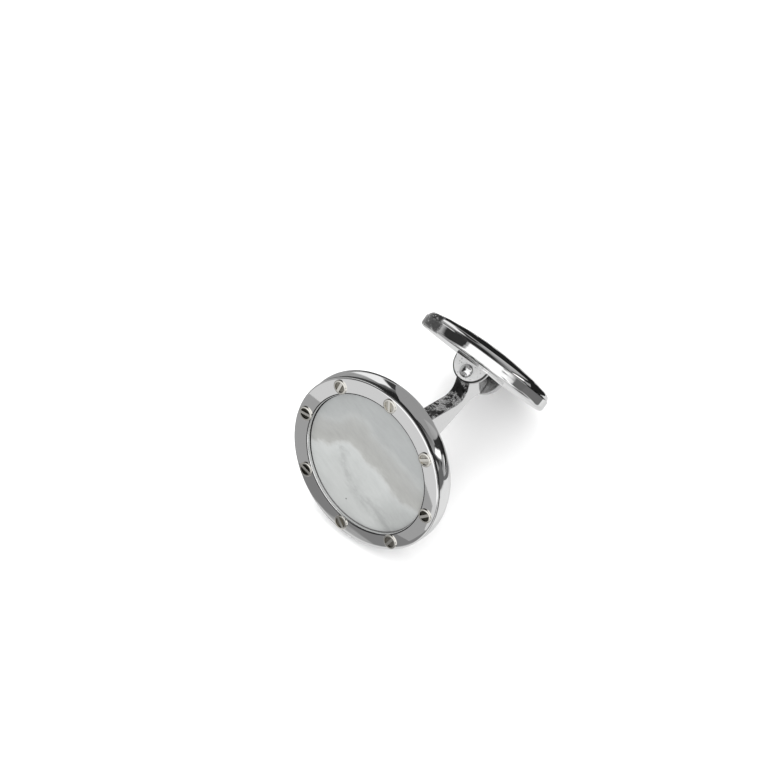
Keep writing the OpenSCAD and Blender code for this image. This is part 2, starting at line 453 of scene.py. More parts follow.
# cast metals: name, frame, tone, tone in the pits, roughness, depth in mm, pits per mm
# the three slot tones are painted shade in the screws' sunk half-moons
slot_painted_shade = cast_metal("slot_painted_shade", FACE, (0.055, 0.052, 0.042), (0.02, 0.02, 0.015), 0.25, 0.01, 6.0)
slot_painted_half_shade = cast_metal("slot_painted_half_shade", FACE, (0.30, 0.285, 0.25), (0.10, 0.09, 0.08), 0.2, 0.01, 6.0)
slot_painted_light_shade = cast_metal("slot_painted_light_shade", FACE, (0.58, 0.56, 0.51), (0.36, 0.34, 0.30), 0.2, 0.01, 6.0)
# painted shade for the notch between ring and cup and for the hair line at the ring's lip
groove_painted_shade = cast_metal("groove_painted_shade", FACE, 0.05, 0.01, 0.4, 0.02, 5.0)
ear_metal = cast_metal("ear_metal", SWIVEL, 0.86, 0.40, 0.36, 0.04, 3.0, metallic=0.25)
# the ears' inside: cast skin darkened with painted shade
ear_inside_skin_and_shade = cast_metal("ear_inside_skin_and_shade", SWIVEL, 0.30, 0.05, 0.25, 0.05, 2.0)
# the ears' rounded edge: painted shade
ear_edge_painted_shade = cast_metal("ear_edge_painted_shade", SWIVEL, 0.07, 0.03, 0.3, 0.02, 3.0)
# the ears' rim: a mirror dimmed with painted shade
ear_rim_painted_shade = mirror_metal("ear_rim_painted_shade", SWIVEL, (0.62, 0.62, 0.62), 0.10, 0.03, 1.0)
# the post's edges: cast skin, with painted dark reflections in blotches
post_skin_and_painted_reflection = cast_metal("post_skin_and_painted_reflection", POST, 0.92, 0.10, 0.10, 0.42, 1.5, blotch=0.94)
print("metals:", [m.name for m in bpy.data.materials if m.use_nodes])

# %% [markdown]
# ## Mother-of-pearl
#
# Nacre is the lining of a shell, in layers thinner than light's own waves. It looks like pale cloud drawn
# out in one direction, warmer grey where the layers tilt and whiter where they lie flat. It could be
# painted, but curves and noise give the same cloud with no picture. A float curve draws where the white
# cloud ends, noise makes that edge ragged, and a ramp on the distance from it gives the tones. A wispy
# vein follows a second curve through the white part, and a fine noise adds the grain. A dim patch and one
# dark speck are ramps on the distance from a point. A clear coat gives the gloss.


# %% The shell material
def distance_to(tree, spot, point):
    return add(tree, "ShaderNodeVectorMath", {0: spot, 1: point}, operation="DISTANCE").outputs["Value"]


def shell_material():
    made, tree, shader = material("mother_of_pearl")
    spot = own_place(tree, FACE)
    half_width = 8.0
    cloud_turn = 14
    grain_turn = 22
    dim_patch_at = (5.6, -4.2, -bezel_t)
    speck_at = (-1.33, -5.79, -bezel_t)
    parts = add(tree, "ShaderNodeSeparateXYZ", {0: spot}).outputs
    sideways = maths(tree, "MULTIPLY_ADD", parts["X"], 0.5 / half_width, 0.5)
    drawn = stretch(tree, spot, (0.6, 1.0, 1.0), cloud_turn)

    def over(points, warp_mm, warp_scale):
        """How many mm a spot lies over a line drawn through points, whose course noise makes ragged."""
        line = add(tree, "ShaderNodeFloatCurve", {"Value": sideways})
        curve = line.mapping.curves[0]
        spots = [(0.5 + x * 0.5 / half_width, 0.5 + y * 0.5 / half_width) for x, y in points]
        for end, spot_on_line in zip(curve.points, (spots[0], spots[-1])):
            end.location = spot_on_line
        for middle in spots[1:-1]:
            curve.points.new(*middle)
        line.mapping.update()
        height = maths(tree, "MULTIPLY_ADD", line.outputs[0], 2 * half_width, -half_width)
        bent = noise(tree, drawn, warp_scale, detail=8.0, roughness=0.66)
        pushed = maths(tree, "MULTIPLY_ADD", bent, 2 * warp_mm, parts["Y"])
        return maths(tree, "SUBTRACT", maths(tree, "SUBTRACT", pushed, warp_mm), height)

    cloud_line = [(-8, -2.2), (-5.4, -1.2), (-2.3, 0.9), (0, 0.1), (1.8, -0.3), (3.7, -1.2), (8, -1.6)]
    white_edge = over(cloud_line, 1.5, 0.5)
    cloud = ramp(
        tree, maths(tree, "MULTIPLY_ADD", white_edge, 0.1, 0.5),
        (0.00, (0.380, 0.390, 0.384)), (0.30, (0.392, 0.404, 0.398)), (0.46, (0.410, 0.422, 0.418)),
        (0.49, (0.388, 0.394, 0.387)), (0.53, (0.312, 0.314, 0.303)), (0.62, (0.292, 0.294, 0.284)),
        (0.76, (0.304, 0.308, 0.301)), (0.84, (0.326, 0.334, 0.331)), (0.92, (0.296, 0.306, 0.305)),
    )
    vein_line = [(-8, 4), (-3.4, -0.8), (-0.7, -3.9), (1.3, -4.6), (4.4, -5.7), (8, -7)]
    off_vein = maths(tree, "ABSOLUTE", over(vein_line, 1.4, 1.1))
    above_cloud = maths(tree, "MAXIMUM", maths(tree, "ADD", white_edge, 0.9), 0.0)
    patchy = maths(tree, "MULTIPLY_ADD", off_vein, 0.45, above_cloud)
    patchy = maths(tree, "MULTIPLY_ADD", noise(tree, drawn, 1.3, detail=8.0, roughness=0.7), 1.7, patchy)
    vein = ramp(tree, maths(tree, "MULTIPLY", patchy, 0.5), (0.42, 0.82), (0.54, 0.92), (0.76, 1.0))
    patch_gap = distance_to(tree, spot, dim_patch_at)
    ragged = maths(tree, "MULTIPLY_ADD", noise(tree, spot, 0.5, detail=6.0), 3.0, patch_gap)
    dim_patch = ramp(tree, maths(tree, "MULTIPLY", ragged, 0.1), (0.28, 0.80), (0.52, 1.0))
    fine = noise(tree, stretch(tree, spot, (0.4, 1.3, 1.0), grain_turn), 1.1, detail=9.0, roughness=0.65)
    grain = ramp(tree, fine, (0.30, 0.93), (0.50, 1.0), (0.70, 1.05))
    speck = ramp(tree, distance_to(tree, spot, speck_at), (0.05, 0.25), (0.12, 1.0))
    colour = cloud
    for layer in (vein, dim_patch, grain, speck):
        colour = mix_colours(tree, 1.0, colour, layer, "MULTIPLY")
    fill(tree, shader, {"Roughness": 0.30, "Coat Weight": 0.35, "Coat Roughness": 0.04})
    fill(tree, shader, {"Base Color": colour, "Normal": bump(tree, fine, 0.003)})
    return made


shell = shell_material()
print("shell material has", len(shell.node_tree.nodes), "nodes")

# %% Painted shade seam round the shell, darker towards the upper left
seam_shade, seam_tree, seam_shader = material("seam_painted_shade")
spot = own_place(seam_tree, FACE)
to_upper_left = {0: spot, 1: (-0.11, 0.06, 0)}
side_way = add(seam_tree, "ShaderNodeVectorMath", to_upper_left, operation="DOT_PRODUCT").outputs["Value"]
seam_tone = maths(seam_tree, "MULTIPLY_ADD", noise(seam_tree, spot, 1.5, detail=3.0), 0.5, side_way)
# painted shade, darker towards the upper left
seam_colour = ramp(seam_tree, seam_tone, (0.2, 0.14), (0.9, 0.005))
fill(seam_tree, seam_shader, {"Base Color": seam_colour, "Roughness": 0.6, "Specular IOR Level": 0.1})
print("glue material has", len(seam_tree.nodes), "nodes")

# %% [markdown]
# ## The ring
#
# The ring is a washer with a rounded outer edge. A cube with a hole would need booleans, and a torus has
# the wrong section, so its section is drawn and spun. Each corner gets a short arc, because a mirror
# shows an edge as the thin bright line where it turns, and a corner with no width would show nothing. Two
# lines of faces, at the lip and under the edge, are dull and dark: they carry painted shade. Wear has
# sloped the rim a little at the lower right, so the vertices near the rim are pushed down there.

# %% The bezel ring
window_r = 7.65
edge_r = 0.15
lip_r = 0.14
back_r = 0.08
line_w = 0.08
line_end = window_r + lip_r + 0.04
worn_from = 9.0
worn_way = radians(-48)
wear = 0.75
wear_steps = 7
pen = Pen(window_r, -bezel_t)
pen.line(window_r, -lip_r).turn(window_r + lip_r, -lip_r, -90, 6).line(line_end, 0)
for step in range(wear_steps + 1):
    pen.line(worn_from + (bezel_r - edge_r - worn_from) * step / wear_steps, 0)
pen.turn(bezel_r - edge_r, -edge_r, -90, 8)
pen.line(bezel_r, back_r - bezel_t).turn(bezel_r - back_r, back_r - bezel_t, -90, 4)
pen.line(window_r, -bezel_t)
ring = lathe(pen, 256)
for face in ring.faces:
    middle = face.calc_center_median()
    at_window = window_r + lip_r - line_w < middle.xy.length < line_end and middle.z > -lip_r
    in_notch = middle.xy.length > bezel_r - edge_r and middle.z < -edge_r - 0.1
    # faces at the lip and in the notch carry painted shade
    face.material_index = int(at_window or in_notch)
for vert in ring.verts:
    past = max(0.0, vert.co.xy.length - worn_from)
    if past and vert.co.z > -edge_r - 1e-3:
        facing = max(0.0, cos(atan2(vert.co.y, vert.co.x) - worn_way))
        vert.co.z -= wear * past * past * facing * facing
piece("bezel_ring", ring, FACE, "front", "bezel", [ring_mirror, groove_painted_shade])

# %% [markdown]
# ## The cup
#
# Behind the ring is a shallow cup whose wall is one round arc, so that it doesn't catch on the cuff.
# Between ring and cup runs a narrow notch. Its faces get a material of their own: painted shade, dull and
# dark, and that dark line is what tells the eye that these are two pieces. The wall is a little fuller at
# the top, so its vertices are pulled out there.

# %% The cup behind the ring
seat_low, seat_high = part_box("pearl")
seat_r = (seat_high.x - seat_low.x) / 2 / MM
cup_depth = 3.3
wall_r = 1.9
seat_depth = 1.45
wall_from = degrees(asin((cup_depth - wall_r - bezel_t) / wall_r))
notch_depth = bezel_t + 0.16
swell = 0.24
wall_x = bezel_r - wall_r
wall_start_x = wall_x + wall_r * cos(radians(wall_from))
pen = Pen(0, -seat_depth)
pen.line(seat_r, -seat_depth).line(seat_r, -bezel_t - 0.02).line(wall_start_x, -bezel_t - 0.02)
pen.turn(wall_x, wall_r - cup_depth, -90 - wall_from, 36)
pen.line(wall_x - 0.05, -cup_depth).line(0, -cup_depth)
cup = lathe(pen, 256)
for face in cup.faces:
    # faces in the notch carry painted shade
    face.material_index = int(face.calc_center_median().z > -notch_depth)
for vert in cup.verts:
    radius = vert.co.xy.length
    if radius > wall_x:
        part = (radius - wall_x) / wall_r * max(0.0, vert.co.y / radius)
        vert.co.xy *= 1 + swell * part / radius
piece("cup", cup, FACE, "front", "front_case", [cup_mirror, groove_painted_shade])

# %% [markdown]
# ## The shell disc
#
# The disc is glued into the cup from the front, and the ring holds it down. Round its edge runs a hair
# line of painted shade, darker than anything else on the face, where the disc meets the ring. The line is a
# narrow ring of faces with a material of its own, so it stays a crisp circle however close the camera
# comes.

# %% The shell disc and its painted shade seam
seam_w = 0.09
pen = Pen(0, -seat_depth + 0.02)
pen.line(seat_r, -seat_depth + 0.02).line(seat_r, -bezel_t - 0.04)
pen.line(seat_r - 0.04, -bezel_t).line(window_r - seam_w, -bezel_t).line(0, -bezel_t)
disc = lathe(pen, 160)
for face in disc.faces:
    middle = face.calc_center_median()
    on_top = middle.z > -bezel_t - 1e-3
    # the narrow ring at the edge of the top carries the painted shade seam
    face.material_index = int(on_top and middle.xy.length > window_r - seam_w)
piece("shell_disc", disc, FACE, "front", "pearl", [shell, seam_shade])

# %% [markdown]
# ## Eight screws
#
# Each head is a little drum with a raised rim and a raised bar, and two sunk half-moons between them. One
# head is made from a filled circle: it is extruded, its top is inset for the rim, two cuts divide the
# inner face into moon, bar and moon, and both moons are pushed down, to just above the ring. Eight copies
# then stand round the ring, each turned as it happened to be when it was tight.


# %% One screw head, and eight of them
head_r = 0.8
head_h = 0.14
head_rim = 0.2
head_bar = 0.3
head_edge = 0.05
head_sink = head_h - 0.03
screw_circle_r = 8.5
first_screw = 39
bar_turns = [36, 104, 78, 8, 168, 138, 65, 44]
# screws whose half-moons take lighter painted shade
slot_shade_tones = {0: slot_painted_light_shade, 1: slot_painted_light_shade, 2: slot_painted_half_shade, 5: slot_painted_half_shade, 6: slot_painted_half_shade}


def top_faces(bm, height, radius):
    return [
        f for f in bm.faces
        if abs(f.calc_center_median().z - height) < 1e-4 and f.calc_center_median().xy.length < radius
    ]


def screw_head():
    bm = bmesh.new()
    bmesh.ops.create_circle(bm, cap_ends=True, segments=56, radius=head_r)
    grown = bmesh.ops.extrude_face_region(bm, geom=bm.faces[:])["geom"]
    lift_new(bm, grown, head_h)
    bmesh.ops.recalc_face_normals(bm, faces=bm.faces)
    rim_edges = [e for e in bm.edges if all(v.co.z > head_h / 2 for v in e.verts)]
    soften(bm, rim_edges, head_edge)
    top = max(bm.faces, key=lambda f: (f.calc_center_median().z, f.calc_area()))
    bmesh.ops.inset_region(bm, faces=[top], thickness=head_rim - head_edge)
    for side in (-1, 1):
        faces = top_faces(bm, head_h, head_r * 0.6)
        geom = faces + list({e for f in faces for e in f.edges}) + list({v for f in faces for v in f.verts})
        spot = (0, side * head_bar / 2, head_h)
        bmesh.ops.bisect_plane(bm, geom=geom, plane_co=spot, plane_no=(0, 1, 0))
    moons = [f for f in top_faces(bm, head_h, head_r * 0.7) if abs(f.calc_center_median().y) > head_bar / 2]
    for moon in moons:
        sunk = bmesh.ops.extrude_face_region(bm, geom=[moon])["geom"]
        lift_new(bm, sunk, -head_sink)
    bmesh.ops.delete(bm, geom=[f for f in moons if f.is_valid], context="FACES_ONLY")
    bmesh.ops.recalc_face_normals(bm, faces=bm.faces)
    # the sunk half-moons take a dark material: painted shade
    for face in bm.faces:
        middle = face.calc_center_median()
        face.material_index = int(middle.z < head_h - 0.02 and middle.xy.length < head_r - head_rim + 0.02)
    return bm


for i, turn in enumerate(bar_turns):
    out_from_centre = heading(first_screw + 45 * i) * screw_circle_r
    place = FACE @ Matrix.Translation(out_from_centre) @ Matrix.Rotation(radians(turn), 4, "Z")
    finishes_and_shades = [nickel, slot_shade_tones.get(i, slot_painted_shade)]
    piece(f"screw_head_{i + 1}", screw_head(), place, "front", f"screw_{i + 1}", finishes_and_shades)

# %% [markdown]
# ## The post
#
# The post is a flat bar, sawn to a curve in its own plane: it leaves the cup wide and low, its underside
# rises in one sweep, and it ends in a hammer head across the hinge. It is drawn as an outline and given a
# thickness. Its two broad faces were polished and its narrow edges were not, so the edge faces take the
# cast skin, with dark blotches of painted reflection.

# %% The post and its hammer head
post_t = 1.8
foot_h = 4.6
reach = Vector((16.2, 3.9, 0))
bend = 46.5
hammer_w = 3.5
barrel_r = post_t / 2
bend_out = heading(bend)
bend_along = Vector((-bend_out.y, bend_out.x, 0))
hammer_side = bend_along * (hammer_w / 2)
near = reach - bend_out * barrel_r + hammer_side
far = reach - bend_out * barrel_r - hammer_side
neck_r = 1.3
neck_x = near.x - neck_r - 0.05
belly_r = 5.0
belly_x = 7.55
rise = 34
throat_r = 0.9
throat_turn = -29
throat = far - Vector((1.26, throat_r + 0.14, 0))
throat_from = heading(90 + rise) * throat_r
pen = Pen(cup_depth - 0.1, -foot_h / 2)
pen.line(belly_x, -foot_h / 2).turn(belly_x, belly_r - foot_h / 2, rise, 12)
pen.line(throat.x + throat_from.x, throat.y + throat_from.y).turn(throat.x, throat.y, throat_turn, 8)
pen.line(far.x, far.y)
pen.line(*(reach - hammer_side).xy).line(*(reach + hammer_side).xy)
pen.line(near.x, near.y).line(neck_x + neck_r, foot_h / 2 + neck_r)
pen.turn(neck_x, foot_h / 2 + neck_r, -90, 16)
pen.line(cup_depth - 0.1, foot_h / 2)
post = sheared_plate(pen, post_t, 0.09)
for face in post.faces:
    face.material_index = int(abs(face.normal.z) < 0.5)
piece("post", post, POST, "front", "front_case", [post_mirror, post_skin_and_painted_reflection])

# %% [markdown]
# ## The barrel
#
# The post ends in a short tube that the hinge's rivet goes through. A tube is a closed section beside the
# axis, spun once round. Its four corners are cut off a little, as a file would do it.

# %% The barrel that the rivet goes through
bore_r = 0.5
filed = 0.06
barrel_end = hammer_w / 2
pen = Pen(bore_r, -barrel_end)
pen.line(barrel_r - filed, -barrel_end).line(barrel_r, filed - barrel_end)
pen.line(barrel_r, barrel_end - filed).line(barrel_r - filed, barrel_end).line(bore_r, barrel_end)
pen.line(bore_r, -barrel_end)
PIN = SWIVEL @ Matrix.Rotation(pi / 2, 4, "X")
piece("barrel", lathe(pen, 64), PIN, "front", "front_case", [post_mirror])

# %% [markdown]
# ## The solder at the foot
#
# Where the post meets the cup, silver solder ran into the corner and left a small fillet. A cube pulled
# wider on the cup's side gives its shape, and its slopes catch a thin light from behind.

# %% Solder fillet
fillet = 0.2
corner_r = 0.25
bm = bmesh.new()
bmesh.ops.create_cube(bm, size=1.0)
bmesh.ops.scale(bm, verts=bm.verts, vec=(fillet, foot_h, post_t))
bmesh.ops.translate(bm, verts=bm.verts, vec=(cup_depth + fillet / 2 - 0.02, 0, 0))
wide = [v for v in bm.verts if v.co.x < cup_depth + fillet / 2]
bmesh.ops.scale(bm, verts=wide, vec=(1, 1 + 2 * fillet / foot_h, 1 + 2 * fillet / post_t))
corners = [e for e in bm.edges if abs(e.verts[0].co.x - e.verts[1].co.x) > fillet / 2]
soften(bm, corners, corner_r, 5)
soften(bm, sharp_edges(bm, 40), 0.05)
piece("solder_fillet", bm, POST, "front", "front_case", [post_mirror])

# %% [markdown]
# ## The toggle
#
# The toggle is a flat button: a body with a straight side, a fine groove, and a domed cap. It is spun
# from one section like the disc. The bracket on its inner face is a thin plate with two half-round ears,
# which start as circles that are cut off level and given a thickness.

# %% The button of the toggle
low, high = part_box("toggle")
toggle_r = (high.x - low.x) / 2 / MM
toggle_in = 1.18
side_h = 1.22
groove = 0.12
dome_t = 2.57
dome_h = 0.5
cap_r = toggle_r - groove
inner_r = 0.4
pen = Pen(0, toggle_in)
pen.line(toggle_r - inner_r - 0.05, toggle_in).line(toggle_r - inner_r, toggle_in)
pen.turn(toggle_r - inner_r, toggle_in + inner_r, 90, 12)
pen.line(toggle_r, toggle_in + side_h - 0.06).line(toggle_r - 0.06, toggle_in + side_h)
pen.line(cap_r - groove, toggle_in + side_h)
pen.line(cap_r - 0.04, toggle_in + side_h + 0.1)
shoulder_r = 0.7
shoulder_from = 12
shoulder_turn = 58
shoulder = Vector((cap_r - shoulder_r, toggle_in + 1.15))
start = shoulder + heading(shoulder_from).xy * shoulder_r
pen.line(*start)
pen.turn(shoulder.x, shoulder.y, shoulder_turn, 14)
dome_edge = Vector((6.0, toggle_in + dome_t - dome_h))
pen.line(dome_edge.x + 0.15, dome_edge.y - 0.03).line(dome_edge.x, dome_edge.y)
dome_r = (dome_edge.x ** 2 + dome_h ** 2) / (2 * dome_h)
pen.turn(0, toggle_in + dome_t - dome_r, degrees(asin(dome_edge.x / dome_r)), 20)
piece("toggle_button", lathe(pen, 256), SWIVEL, "swivel", "toggle", [toggle_mirror])

# %% The bracket: a base plate and two ears
ear_r = 2.1
ear_t = 0.65
ear_gap = 3.7
ear_edge_r = 0.16
pin_h = 0.98
# how far a face looks along the pin parts the outside, its rounded edge, the rim and the inside
FACING_LIMITS = (0.99, 0.1, -0.9)


def ear(side):
    """A half-round ear, drawn flat and then stood up beside the barrel."""
    bm = bmesh.new()
    bmesh.ops.create_circle(bm, cap_ends=True, segments=96, radius=ear_r)
    bmesh.ops.translate(bm, verts=bm.verts, vec=(0, pin_h, 0))
    bmesh.ops.bisect_plane(
        bm, geom=bm.verts[:] + bm.edges[:] + bm.faces[:],
        plane_co=(0, pin_h, 0), plane_no=(0, 1, 0), clear_outer=True,
    )
    grown = bmesh.ops.extrude_face_region(bm, geom=bm.faces[:])["geom"]
    lift_new(bm, grown, ear_t)
    bmesh.ops.recalc_face_normals(bm, faces=bm.faces)
    soften(bm, [e for e in sharp_edges(bm) if e.calc_length() < ear_t / 2], ear_edge_r)
    for face in bm.faces:
        # the rounded edge, the rim and the inside take painted shade
        face.material_index = sum(face.normal.z < limit for limit in FACING_LIMITS)
    bmesh.ops.translate(bm, verts=bm.verts, vec=(0, 0, ear_gap / 2))
    if side < 0:
        bmesh.ops.scale(bm, verts=bm.verts, vec=(1, 1, -1))
        bmesh.ops.recalc_face_normals(bm, faces=bm.faces)
    return bm


EARS = frame_of(pin_place, ACROSS, out_way, pin_way)
for side, word in ((1, "near"), (-1, "far")):
    finishes_and_shades = [ear_metal, ear_edge_painted_shade, ear_rim_painted_shade, ear_inside_skin_and_shade]
    piece(f"ear_{word}", ear(side), EARS, "swivel", "toggle", finishes_and_shades)

# %% The base plate under the ears
span = ear_gap + 2 * ear_t
bm = bmesh.new()
bmesh.ops.create_cube(bm, size=1.0)
bmesh.ops.scale(bm, verts=bm.verts, vec=(2 * ear_r, toggle_in - pin_h + 0.02, span))
bmesh.ops.translate(bm, verts=bm.verts, vec=(0, (pin_h + toggle_in) / 2, 0))
soften(bm, bm.edges[:], 0.04)
piece("base_plate", bm, EARS, "swivel", "toggle", [bracket_mirror])

# %% [markdown]
# ## The rivet
#
# One pin goes through both ears and the barrel, and its ends were hammered over into low domes. A domed
# mirror shows the whole room in a small round picture, which is why rivets look so bright in the middle
# and so dark at the rim.


# %% Rivet metal, with painted shade in the corner at the foot of the head
def rivet_material(foot):
    """Polished metal with painted shade in the corner just above foot, in mm along the pin."""
    made, tree, shader = material("rivet_metal")
    spot = own_place(tree, SWIVEL)
    out = maths(tree, "ABSOLUTE", add(tree, "ShaderNodeSeparateXYZ", {0: spot}).outputs["Y"])
    above_foot = maths(tree, "SUBTRACT", out, foot)
    foot_shade_height = maths(tree, "MULTIPLY_ADD", noise(tree, spot, 4.0, detail=3.0), 0.12, above_foot)
    surface = add(tree, "ShaderNodeGroup", {"Place": spot, "Waves per mm": 3.0}, node_tree=polish)
    # painted shade: dark just above the foot of the head
    colour = ramp(tree, foot_shade_height, (0.10, 0.10), (0.24, 0.88))
    dull = ramp(tree, surface.outputs["Dulling"], (0.4, 0.04), (0.8, 0.12))
    normal = bump(tree, surface.outputs["Height"], 0.02)
    fill(tree, shader, {"Metallic": 1.0, "Base Color": colour, "Roughness": dull, "Normal": normal})
    return made


print("the ears reach", span / 2, "mm from the middle of the pin")

# %% The rivet through the hinge
pin_r = 0.45
rivet_r = 0.725
rivet_h = 0.38
head_y = span / 2 + 0.02
ball_r = (rivet_r ** 2 + rivet_h ** 2) / (2 * rivet_h)
half_turn = degrees(asin(rivet_r / ball_r))
pen = Pen(0, -head_y - rivet_h)
pen.turn(0, ball_r - head_y - rivet_h, half_turn, 12).line(pin_r, -head_y).line(pin_r, head_y)
pen.line(rivet_r, head_y).turn(0, head_y + rivet_h - ball_r, half_turn, 12)
rivet_metal = rivet_material(span / 2)
piece("rivet", lathe(pen, 96), PIN, "swivel", "hinge_pin", [rivet_metal])

# %% [markdown]
# ## The camera
#
# The photo looks down on the cufflink from the front right, from far away, so its lines hardly converge.
# A long lens far off gives the same flat view. The camera is turned first, and then moved back along its
# own axis until the frame is as many millimetres wide as the photo shows.

# %% Camera
IMAGE_PX = 768
PX_PER_MM = 9.81
FACE_PX = Vector((365.3, 464.4))
azimuth_deg = 46.86
elevation_deg = 56.48
roll_deg = -5.77
turn = (
    Matrix.Rotation(radians(azimuth_deg), 3, "Z")
    @ Matrix.Rotation(radians(90 - elevation_deg), 3, "X")
    @ Matrix.Rotation(radians(roll_deg), 3, "Z")
)
right, up, back = (turn.col[i] for i in range(3))
offset = (Vector((IMAGE_PX / 2, IMAGE_PX / 2)) - FACE_PX) / PX_PER_MM * MM
camera_data = bpy.data.cameras.new("camera")
camera_data.lens = 500
camera_data.sensor_width = 36
distance = IMAGE_PX / PX_PER_MM * MM * camera_data.lens / camera_data.sensor_width
camera_data.clip_end = 3 * distance
camera = link("camera", camera_data)
target = face_centre + right * offset.x - up * offset.y
camera.matrix_world = Matrix.Translation(target + back * distance) @ turn.to_4x4()
bpy.context.scene.camera = camera
print("camera", [round(v, 3) for v in camera.location])

# %% [markdown]
# ## The table
#
# The cufflink lies on a white table that is lit until it is just past white, so only a soft shadow is
# left. The floor is a plain sheet with a very faint grain, and it isn't part of the cufflink. It is left
# out of reflections, because what the metal shows is set up on its own below.

# %% Floor
def stage_sheet(name, width, length, middle, made_of, widening=0.0, upright=False):
    """A flat sheet in metres. Its right edge may slant, so that it is wider at its far y end."""
    bm = bmesh.new()
    bmesh.ops.create_grid(bm, x_segments=1, y_segments=1, size=0.5)
    bmesh.ops.scale(bm, verts=bm.verts, vec=(width, length, 1))
    corner = max(bm.verts, key=lambda v: v.co.x + v.co.y)
    corner.co.x += widening
    if upright:
        bmesh.ops.rotate(bm, verts=bm.verts, cent=(0, 0, 0), matrix=Matrix.Rotation(pi / 2, 3, "X"))
    bmesh.ops.translate(bm, verts=bm.verts, vec=middle)
    sheet = link(name, mesh_of(name, bm, [made_of]))
    return sheet


paper, tree, shader = material("table")
coords = add(tree, "ShaderNodeTexCoord").outputs["Object"]
paper_tone = ramp(tree, noise(tree, coords, 900.0, detail=2.0), (0.0, 0.935), (1.0, 0.955))
fill(tree, shader, {"Base Color": paper_tone, "Roughness": 0.9, "Specular IOR Level": 0.0})
floor = stage_sheet("floor", 1.2, 1.2, (0, 0, 0), paper)
floor.visible_glossy = False
print("floor", [round(v, 2) for v in floor.dimensions])

# %% [markdown]
# ## What the mirrors see
#
# Polished metal has no colour of its own: it shows the room. A photographer shapes that room with panels,
# and here the panels are soft patches on the world's dome, which only glossy rays see. Each panel is the
# same node group with its own direction, size and slant, so the group is built once. Everything else,
# such as the table and the shell, is lit by a plain white dome.

# %% The panel group
PANEL_FIELDS = ("Centre", "Height", "Half width", "Half height", "Slant", "Softness")
fields = [(field, 0.0) for field in ("Azimuth", "Elevation", *PANEL_FIELDS)]
panel, given, result = new_group("panel", fields, ["Mask"])
above = maths(panel, "SUBTRACT", given["Elevation"], given["Height"])
shift = maths(panel, "MULTIPLY_ADD", above, given["Slant"], given["Centre"])
beside = maths(panel, "WRAP", maths(panel, "SUBTRACT", given["Azimuth"], shift), -180.0, 180.0)
sides = []
for gap, half in ((beside, "Half width"), (above, "Half height")):
    inside = maths(panel, "SUBTRACT", given[half], maths(panel, "ABSOLUTE", gap))
    eased = maths(panel, "DIVIDE", inside, given["Softness"])
    clamped = add(panel, "ShaderNodeMath", {0: eased, 1: 0.5}, operation="ADD", use_clamp=True)
    sides.append(clamped.outputs[0])
panel.links.new(maths(panel, "MULTIPLY", *sides), result["Mask"])
print("panel group:", len(panel.nodes), "nodes")

# %% The world: a white dome, and the panels that the metal shows
world = bpy.data.worlds.new("studio")
bpy.context.scene.world = world
world.use_nodes = True
sky = world.node_tree
way = add(sky, "ShaderNodeTexCoord").outputs["Generated"]
parts = add(sky, "ShaderNodeSeparateXYZ", {0: way}).outputs
azimuth = maths(sky, "DEGREES", maths(sky, "ARCTAN2", parts["Y"], parts["X"]))
elevation = maths(sky, "DEGREES", maths(sky, "ARCSINE", parts["Z"]))

ROOM_TONE = 0.34
DOME = 1.55
# what it stands for: centre azimuth, height, half width, half height, slant, softness, brightness
PANELS = {
    "table all round": (0, -72, 180, 28, 0.0, 6, 0.70),
    "table to the right": (5, -40, 70, 24, 0.0, 8, 0.80),
    "white wall beside the camera, low": (-62, 12, 58, 62, 0.0, 3, 0.66),
    "white wall beside the camera, high": (-62, 34, 54, 44, 0.0, 6, 1.12),
    "lighter part of the backdrop": (76, 8, 18, 46, 0.0, 20, 0.42),
    "light line at the horizon": (100, -5, 14, 7, 0.0, 4, 0.60),
    "dark ceiling behind": (90, 84, 88, 42, 0.0, 34, 0.02),
    "left lamp": (137, 16, 13, 26, 0.0, 5, 0.92),
    "gap left of the backdrop": (115, 18, 9, 20, 0.0, 2, 0.04),
    "gap right of the backdrop": (51, 2, 10, 26, -0.9, 2, 0.03),
    "lamp right of the gap": (28, 14, 7, 12, -0.9, 3, 1.3),
    "lamp stand": (8, 16, 7, 18, -0.9, 3, 0.04),
    "dark corner to the right": (2, -2, 20, 12, 0.0, 1.5, 0.14),
    "low lamp": (48, -17, 7, 5, 0.0, 2, 1.2),
    "gap left of the white wall": (-153, 38, 22, 30, 0.0, 3, 0.03),
    "far left wall": (-170, 2, 16, 22, 0.0, 8, 0.42),
    "small flag": (-30, 12, 6, 11, 0.4, 2, 0.06),
    "low flag": (-30, -34, 20, 14, 0.3, 2, 0.13),
}
tone = maths(sky, "MULTIPLY_ADD", noise(sky, way, 6.0, detail=3.0), 0.2, ROOM_TONE - 0.1)
for name, (*shape, bright) in PANELS.items():
    values = {"Azimuth": azimuth, "Elevation": elevation, **dict(zip(PANEL_FIELDS, shape))}
    mask = add(sky, "ShaderNodeGroup", values, node_tree=panel, label=name)
    tone = add(sky, "ShaderNodeMix", {0: mask.outputs["Mask"], 2: tone, 3: bright}).outputs[0]
glossy = add(sky, "ShaderNodeLightPath").outputs["Is Glossy Ray"]
seen = add(sky, "ShaderNodeMix", {0: glossy, 2: DOME, 3: tone}).outputs[0]
fill(sky, sky.nodes["Background"], {"Color": (1, 1, 1, 1), "Strength": seen})
print("panels:", len(PANELS))

# %% [markdown]
# ## Cards on the table
#
# A flat mirror shows one direction only, so panels far away can't draw an edge across the ring. An edge
# needs something near. Grey cards lie on the table in front of the cufflink, where the ring's reflected
# rays end, and their edges are found by following such a ray from a height on the face. The darker of
# them, nearer the cufflink, is painted shade on the table. Black cards lie under the disc and behind the
# toggle, and a dark grey one lies right of the toggle: they are painted shade, where the real table is in
# shade. The camera and the light don't see any of them.


# %% The cards
inward = -along
mirrored = 2 * back.dot(inward) * inward - back


